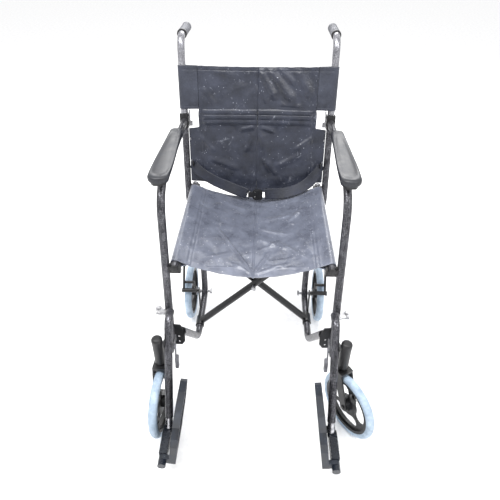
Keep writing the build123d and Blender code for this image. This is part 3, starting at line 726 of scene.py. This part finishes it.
def lathe(profile, steps):
    """Points and faces of a profile of (radius, height) turned about Z, closed at both ends."""
    points, faces = [], []
    for radius, height in profile:
        for k in range(steps):
            turn = 2 * math.pi * k / steps
            points.append((radius * math.cos(turn), radius * math.sin(turn), height))
    for i in range(len(profile) - 1):
        for k in range(steps):
            a, b = i * steps + k, i * steps + (k + 1) % steps
            faces.append((a, a + steps, b + steps, b))
    faces.append(tuple(range(steps)))
    faces.append(tuple(reversed(range((len(profile) - 1) * steps, len(profile) * steps))))
    return np.array(points), faces


def turned_piece(name, profile, steps, place, finish, way=1):
    """A lathed mesh whose profile runs backwards along Y from its place, or forwards where way is -1."""
    points, faces = lathe(profile, steps)
    x, y, z = place
    placed = np.column_stack([points[:, 0] + x, y + way * points[:, 2], z - way * points[:, 1]])
    return mesh_object(name, placed, [face[::-1] for face in faces], finish)


def bevelled_plate(outline, thickness, edge):
    """A flat moulding with softened edges: outline in X and Y, thickness along Z."""
    plate = bmesh.new()
    corners = [plate.verts.new((x, y, -thickness / 2)) for x, y in outline]
    base = plate.faces.new(corners)
    raised = bmesh.ops.extrude_face_region(plate, geom=[base])
    lifted = [v for v in raised["geom"] if isinstance(v, bmesh.types.BMVert)]
    bmesh.ops.translate(plate, verts=lifted, vec=(0, 0, thickness))
    bmesh.ops.recalc_face_normals(plate, faces=plate.faces)
    bmesh.ops.bevel(plate, geom=list(plate.edges), offset=edge, segments=2, affect="EDGES", profile=0.6)
    plate.verts.index_update()
    points = np.array([tuple(v.co) for v in plate.verts])
    faces = [tuple(v.index for v in face.verts) for face in plate.faces]
    plate.free()
    return points, faces


# ---- arm pads ------------------------------------------------------------------------------
PAD_LOW, PAD_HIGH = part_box("right_arm_pad")
PAD_FRONT, PAD_FOOT = PAD_LOW.y / MM, PAD_LOW.z / MM + 0.2
PAD_BACK, PAD_TOP = PAD_HIGH.y / MM, PAD_HIGH.z / MM


def pad_half_width(y):
    """Half the pad's width: full near the front, narrower at the back, round at both ends."""
    share = np.clip((y - PAD_FRONT) / (PAD_BACK - PAD_FRONT), 0, 1)
    half = 26.5 - 8.5 * smooth_step(share, 0.1, 1.0)
    nose = np.sqrt(np.clip(1 - (1 - np.clip(share / 0.085, 0, 1)) ** 2.4, 0, 1))
    tail = np.sqrt(np.clip(1 - (1 - np.clip((1 - share) / 0.05, 0, 1)) ** 2.6, 0, 1))
    return half * nose * tail


class WHEELCHAIR_OT_arm_pads(bpy.types.Operator):
    """Arm pads: foam under a moulded skin, crowned, with a seam line near the foot"""
    bl_idname = "wheelchair.arm_pads"
    bl_label = "Arm pads"

    def execute(self, context):
        rings, around = 90, 44
        # spread closer together at the round ends
        share = 0.5 - 0.5 * np.cos(np.linspace(0.04, math.pi - 0.04, rings))
        y = PAD_FRONT + 0.6 + (PAD_BACK - PAD_FRONT - 1.2) * share
        half = np.maximum(pad_half_width(y), 2.0)
        tall = PAD_TOP - PAD_FOOT
        points = []
        for at, wide in zip(y, half):
            end = np.clip(min(at - PAD_FRONT, PAD_BACK - at) / 26.0, 0, 1)
            crown = tall * (0.66 + 0.34 * math.sqrt(1 - (1 - end) ** 2))
            for k in range(around):
                turn = 2 * math.pi * k / around
                c, s = math.cos(turn), math.sin(turn)
                power = 2.0 / (2.9 if s > 0 else 5.5)
                x = wide * math.copysign(abs(c) ** (2.0 / 3.0), c)
                z = PAD_FOOT + crown * (0.42 + (0.58 if s > 0 else 0.42) * math.copysign(abs(s) ** power, s))
                points.append((CANE_X + x, at, z))
        faces = []
        for i in range(rings - 1):
            for k in range(around):
                a, b = i * around + k, i * around + (k + 1) % around
                faces.append((a, b, b + around, a + around))
        faces.append(tuple(reversed(range(around))))
        faces.append(tuple(range((rings - 1) * around, rings * around)))
        points = np.array(points)
        pad = mesh_object("right_arm_pad_foam", points, faces, FINISHES["pad_vinyl"])
        self.inflate(pad, context.scene)
        shaped = np.array([tuple(v.co) for v in pad.data.vertices])
        faces = [tuple(p.vertices) for p in pad.data.polygons]
        bpy.data.objects.remove(pad)
        for side, sign in SIDES:
            placed = shaped * np.array([sign, 1, 1]) / MM
            facing = faces if sign > 0 else [face[::-1] for face in faces]
            thing = mesh_object(f"{side}_arm_pad_foam", placed, facing, FINISHES["pad_vinyl"])
            declare(thing, f"{side}_frame", f"{side}_arm_pad")
        return {"FINISHED"}

    def inflate(self, pad, scene):
        """Let the skin take up the foam's pressure, by no more than the set swell at any point."""
        before = np.array([tuple(v.co) for v in pad.data.vertices])
        cloth = pad.modifiers.new("skin", "CLOTH")
        cloth.settings.use_pressure = True
        cloth.settings.uniform_pressure_force = 3.0
        cloth.settings.effector_weights.gravity = 0.0
        cloth.settings.quality = 6
        cloth.settings.tension_stiffness = 40
        cloth.settings.bending_stiffness = 6
        group = pad.vertex_groups.new(name="foot")
        group.add([k for k, p in enumerate(before) if p[2] < (PAD_FOOT + 2.5) * MM], 1.0, "REPLACE")
        cloth.settings.vertex_group_mass = "foot"
        for step in range(1, 16):
            scene.frame_set(step)
        ready = pad.evaluated_get(bpy.context.evaluated_depsgraph_get())
        after = np.array([tuple(v.co) for v in ready.data.vertices])
        pad.modifiers.remove(cloth)
        scene.frame_set(1)
        moved = after - before
        length = np.linalg.norm(moved, axis=1, keepdims=True)
        moved *= np.minimum(1.0, scene.wheelchair.pad_swell * MM / np.maximum(length, 1e-9))
        final = before + moved
        final[:, 2] = np.clip(final[:, 2], PAD_FOOT * MM, PAD_TOP * MM)
        for vertex, place in zip(pad.data.vertices, final):
            vertex.co = place


# ---- grips ---------------------------------------------------------------------------------
RIB_PITCH = 4.6
GRIP_RING = [(11.3, 0.0), (14.0, 0.0), (15.0, 1.0), (15.0, 5.0), (14.2, 6.0), (11.3, 6.0)]


class WHEELCHAIR_OT_grips(bpy.types.Operator):
    """Push grips: ribbed rubber with a collar at the open end and a domed closed end"""
    bl_idname = "wheelchair.grips"
    bl_label = "Push grips"

    def execute(self, context):
        for side, sign in SIDES:
            low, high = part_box(f"{side}_push_grip")
            length = (high.y - low.y) / MM
            profile = [(11.6, 0.0), (14.6, 0.3), (15.0, 1.2), (15.0, 5.0), (14.6, 5.8), (13.6, 6.4),
                       (13.4, 8.5)]
            place = 10.0
            while place < length - 16.0:
                # one rib, with softened edges
                profile += [(13.5, place), (14.5, place + 0.7), (14.5, place + 2.3), (13.5, place + 3.0)]
                place += RIB_PITCH
            profile += [(13.5, place + 1.0), (14.7, place + 2.0), (14.9, length - 6.0), (14.2, length - 2.4),
                        (12.0, length - 0.6), (8.0, length), (0.5, length)]
            front, middle = low.y / MM, (low.z + high.z) / 2 / MM
            grip = turned_piece(f"{side}_ribbed_grip", profile, 48, (sign * CANE_X, front, middle),
                                FINISHES["grip_rubber"])
            declare(grip, f"{side}_back", f"{side}_push_grip")
            start = (sign * CANE_X, front - GRIP_RING[-1][1], middle)
            ring = turned_piece(f"{side}_grip_ring", GRIP_RING, 48, start, FINISHES["black_plastic"])
            declare(ring, f"{side}_back")
        return {"FINISHED"}


class WHEELCHAIR_OT_rail_plugs(bpy.types.Operator):
    """Moulded plugs that close both ends of each seat rail"""
    bl_idname = "wheelchair.rail_plugs"
    bl_label = "Seat rail plugs"

    def execute(self, context):
        profile = [(9.3, 0.0), (9.3, 3.0), (11.1, 3.2), (11.1, 4.6), (10.2, 6.2), (7.4, 7.6), (3.0, 8.3),
                   (0.3, 8.4)]
        for side, sign, body in (("left", -1, "brace_rear"), ("right", 1, "brace_front")):
            low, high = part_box(f"{side}_seat_rail")
            for end, place, way in (("front", low.y / MM + 3.0, -1), ("rear", high.y / MM - 3.0, 1)):
                plug = turned_piece(f"{side}_{end}_rail_plug", profile, 40, (sign * RAIL_X, place, RAIL_Z),
                                    FINISHES["black_plastic"], way)
                declare(plug, body)
        return {"FINISHED"}


# ---- stage ---------------------------------------------------------------------------------
class WHEELCHAIR_OT_stage(bpy.types.Operator):
    """Pale floor, soft studio light and the camera"""
    bl_idname = "wheelchair.stage"
    bl_label = "Stage"

    def execute(self, context):
        scene = context.scene
        floor = mesh_object("studio_floor", [(-20000, -20000, 0), (20000, -20000, 0), (20000, 20000, 0),
                                             (-20000, 20000, 0)], [(0, 1, 2, 3)],
                            moulded("white_matt_paint", "#f4f4f5", "#ffffff", 0.85, 4.0, 0.02), smooth=False)
        world = bpy.data.worlds.new("studio_air")
        scene.world = world
        world.use_nodes = True
        sky = world.node_tree.nodes["Background"]
        sky.inputs["Color"].default_value = linear("#ffffff")
        sky.inputs["Strength"].default_value = 1.0
        self.light("key", (-1.3, -0.9, 3.0), 1.4, 60)
        self.light("fill", (1.7, -1.2, 2.2), 1.4, 24)
        self.light("back", (0.1, 2.4, 2.2), 1.8, 60)
        self.light("top", (0.0, -0.7, 2.3), 0.9, 22)
        lens = bpy.data.cameras.new("camera")
        lens.sensor_width = 36.0
        lens.lens = 454.5 / 500 * lens.sensor_width
        lens.clip_end = 60.0
        camera = bpy.data.objects.new("camera", lens)
        scene.collection.objects.link(camera)
        pitch, yaw, roll = (math.radians(a) for a in (37.2, -1.7, 0.2))
        ahead = Vector((math.sin(yaw) * math.cos(pitch), math.cos(yaw) * math.cos(pitch), -math.sin(pitch)))
        right = Vector((math.cos(yaw), -math.sin(yaw), 0))
        up = right.cross(ahead)
        right, up = right * math.cos(roll) + up * math.sin(roll), up * math.cos(roll) - right * math.sin(roll)
        turn = Matrix((right, up, -ahead)).transposed().to_4x4()
        camera.matrix_world = Matrix.Translation((0.0199, -1.1739, 1.2461)) @ turn
        scene.camera = camera
        scene.view_settings.view_transform = "Standard"
        return {"FINISHED"}

    def light(self, name, place, size, watts):
        """A square soft light that faces the chair."""
        lamp = bpy.data.lights.new(name, "AREA")
        lamp.size = size
        lamp.energy = watts
        thing = bpy.data.objects.new(name, lamp)
        bpy.context.scene.collection.objects.link(thing)
        thing.location = place
        thing.rotation_euler = (Vector((0, 0, 0.5)) - Vector(place)).to_track_quat("-Z", "Y").to_euler()


# ---- add-on --------------------------------------------------------------------------------
class WheelchairSettings(bpy.types.PropertyGroup):
    """Sizes and colours of the soft parts and finishes that a user may change"""
    seat_sag: bpy.props.FloatProperty(
        name="Seat sag (mm)", description="How far the seat hangs in the middle", default=45.5, min=10, max=60)
    belt_width: bpy.props.FloatProperty(
        name="Belt width (mm)", description="Width of the belt's webbing", default=36.0, min=20, max=50)
    pad_swell: bpy.props.FloatProperty(
        name="Pad swell (mm)", description="Most that the arm pads' foam swells", default=3.0, min=0, max=6)
    frame_colour: bpy.props.StringProperty(
        name="Frame", description="Ground colour of the silver-vein coat, as a hex colour", default="#3a3a3f")
    cloth_colour: bpy.props.StringProperty(
        name="Cloth", description="Darker tone of the back cloth, as a hex colour", default="#1b1e28")
    pad_colour: bpy.props.StringProperty(
        name="Arm pads", description="Darker tone of the arm pads, as a hex colour", default="#1d1e23")
    tyre_colour: bpy.props.StringProperty(
        name="Tyres", description="Darker tone of the tyres, as a hex colour", default="#8799ac")


class WHEELCHAIR_OT_finishes(bpy.types.Operator):
    """Make every finish and give each frame part its own"""
    bl_idname = "wheelchair.finishes"
    bl_label = "Finishes"

    def execute(self, context):
        make_finishes(context.scene.wheelchair)
        finish_cad_nodes()
        return {"FINISHED"}


class WHEELCHAIR_PT_panel(bpy.types.Panel):
    """Wheelchair pieces and finishes"""
    bl_label = "Wheelchair"
    bl_idname = "WHEELCHAIR_PT_panel"
    bl_space_type = "VIEW_3D"
    bl_region_type = "UI"
    bl_category = "Wheelchair"

    def draw(self, context):
        layout = self.layout
        for name in WheelchairSettings.__annotations__:
            layout.prop(context.scene.wheelchair, name)
        for step in STEPS:
            layout.operator(step.bl_idname)


STEPS = (
    WHEELCHAIR_OT_finishes,
    WHEELCHAIR_OT_seat,
    WHEELCHAIR_OT_back,
    WHEELCHAIR_OT_belt,
    WHEELCHAIR_OT_arm_pads,
    WHEELCHAIR_OT_grips,
    WHEELCHAIR_OT_rail_plugs,
    WHEELCHAIR_OT_stage,
)


def register():
    bpy.utils.register_class(WheelchairSettings)
    for step in STEPS:
        bpy.utils.register_class(step)
    bpy.utils.register_class(WHEELCHAIR_PT_panel)
    bpy.types.Scene.wheelchair = bpy.props.PointerProperty(type=WheelchairSettings)


def unregister():
    del bpy.types.Scene.wheelchair
    bpy.utils.unregister_class(WHEELCHAIR_PT_panel)
    for step in reversed(STEPS):
        bpy.utils.unregister_class(step)
    bpy.utils.unregister_class(WheelchairSettings)


def main():
    """Build the whole chair."""
    register()
    for step in STEPS:
        name = step.bl_idname.split(".")[1]
        getattr(bpy.ops.wheelchair, name)()
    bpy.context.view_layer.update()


if __name__ == "__main__":
    main()
